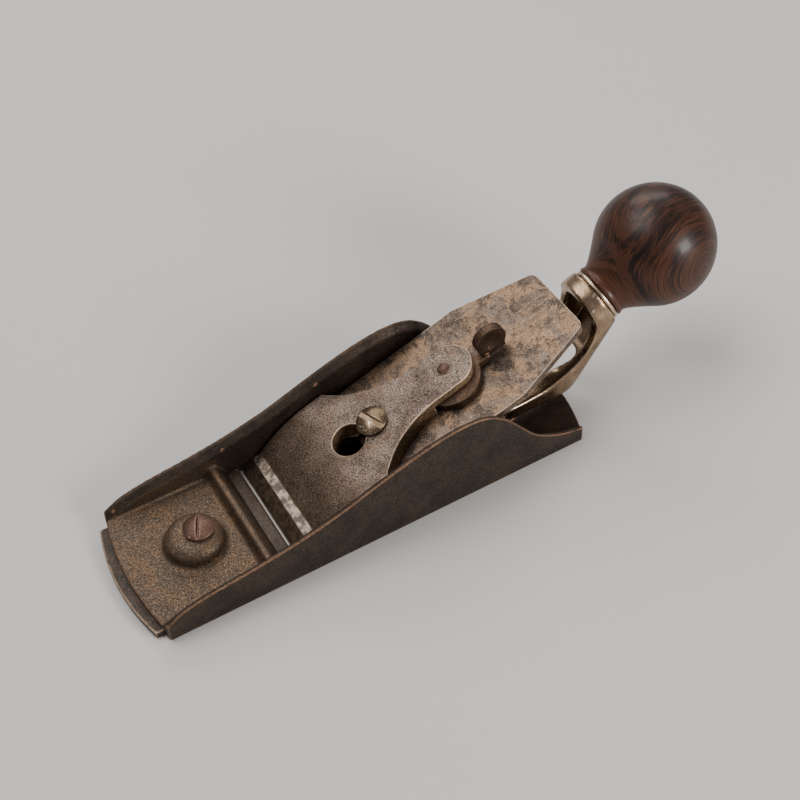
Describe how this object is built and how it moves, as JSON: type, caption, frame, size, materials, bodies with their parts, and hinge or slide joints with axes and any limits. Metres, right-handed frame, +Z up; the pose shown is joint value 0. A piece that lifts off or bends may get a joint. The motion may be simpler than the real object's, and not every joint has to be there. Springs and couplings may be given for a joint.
{
  "type": "block plane",
  "caption": "Low-angle block plane with a sliding mouth plate, a lever cap with a cam lever, a screw adjuster and a ball handle behind.",
  "frame": {"origin": "middle of the sole, halfway between the casting's side corners", "axes": "+X towards the toe, +Z up, +Y to the left seen from behind"},
  "size_m": [0.2237, 0.0516, 0.0688],
  "materials": {
    "casting": "worn dark japanning over brown patina",
    "plate": "brown patina, bright at the edge",
    "cutter_steel": "mottled with tan and grey staining",
    "cap_iron": "finely pitted grey-brown",
    "dark_steel": "brown patina",
    "bright_steel": "worn nickel",
    "nickel": "aged nickel with olive tarnish",
    "brass": "aged",
    "rosewood": "satin polish over dark grain"
  },
  "bodies": {
    "casting": {"body": "casting", "lever_pin": "bright_steel", "adjusting_stud": "bright_steel", "handle_bracket": "nickel", "bracket_screws": "bright_steel", "knob_collar": "nickel", "knob": "rosewood", "knob_screw": "bright_steel"},
    "mouth_plate": {"mouth_plate": "plate"},
    "mouth_screw": {"mouth_screw": "dark_steel"},
    "cutter": {"cutter": "cutter_steel"},
    "lever_cap": {"lever_cap": "cap_iron", "cam_rivet": "dark_steel"},
    "cam_lever": {"cam_lever": "dark_steel"},
    "cap_screw": {"cap_screw": "bright_steel"},
    "adjusting_lever": {"adjusting_lever": "cap_iron"},
    "nut_hub": {"nut_hub": "brass"},
    "nut_wheel": {"nut_wheel": "brass"}
  },
  "joints": [
    {"name": "mouth_slide", "type": "slide", "parent": "casting", "child": "mouth_plate", "axis": [1, 0, 0], "range_m": [0, 0.0017]},
    {"name": "mouth_screw_turn", "type": "hinge", "parent": "mouth_plate", "child": "mouth_screw", "pos_m": [0.0534, 0, 0.0114], "axis": [0, 0, 1], "range_deg": [0, 360]},
    {"name": "cap_screw_turn", "type": "hinge", "parent": "casting", "child": "cap_screw", "pos_m": [-0.01028, 0, 0.02421], "axis": [0.342, 0, 0.9397], "range_deg": [0, 360]},
    {"name": "cap_slide", "type": "slide", "parent": "casting", "child": "lever_cap", "axis": [-0.9397, 0, 0.342], "range_m": [0, 0.0095]},
    {"name": "cam_turn", "type": "hinge", "parent": "lever_cap", "child": "cam_lever", "pos_m": [-0.03893, 0, 0.02942], "axis": [0.342, 0, 0.9397], "range_deg": [0, 60]},
    {"name": "nut_travel", "type": "slide", "parent": "casting", "child": "nut_hub", "axis": [0, 0, 1], "range_m": [-0.00251, 0.00251]},
    {"name": "nut_spin", "type": "hinge", "parent": "nut_hub", "child": "nut_wheel", "pos_m": [-0.05401, 0, 0.0176], "axis": [0, 0, 1], "range_deg": [-720, 720]},
    {"name": "lever_tilt", "type": "hinge", "parent": "casting", "child": "adjusting_lever", "pos_m": [-0.03201, 0, 0.01275], "axis": [0, 1, 0], "range_deg": [-6.6, 6.6]},
    {"name": "cutter_feed", "type": "slide", "parent": "casting", "child": "cutter", "axis": [0.9397, 0, -0.342], "range_m": [-0.00106, 0.00106]}
  ],
  "couplings": [
    {"joint": "nut_spin", "follows": "cutter_feed", "rad_per_m": 11891},
    {"joint": "nut_travel", "follows": "cutter_feed", "ratio": 2.3656},
    {"joint": "lever_tilt", "follows": "cutter_feed", "rad_per_m": 107.53}
  ]
}
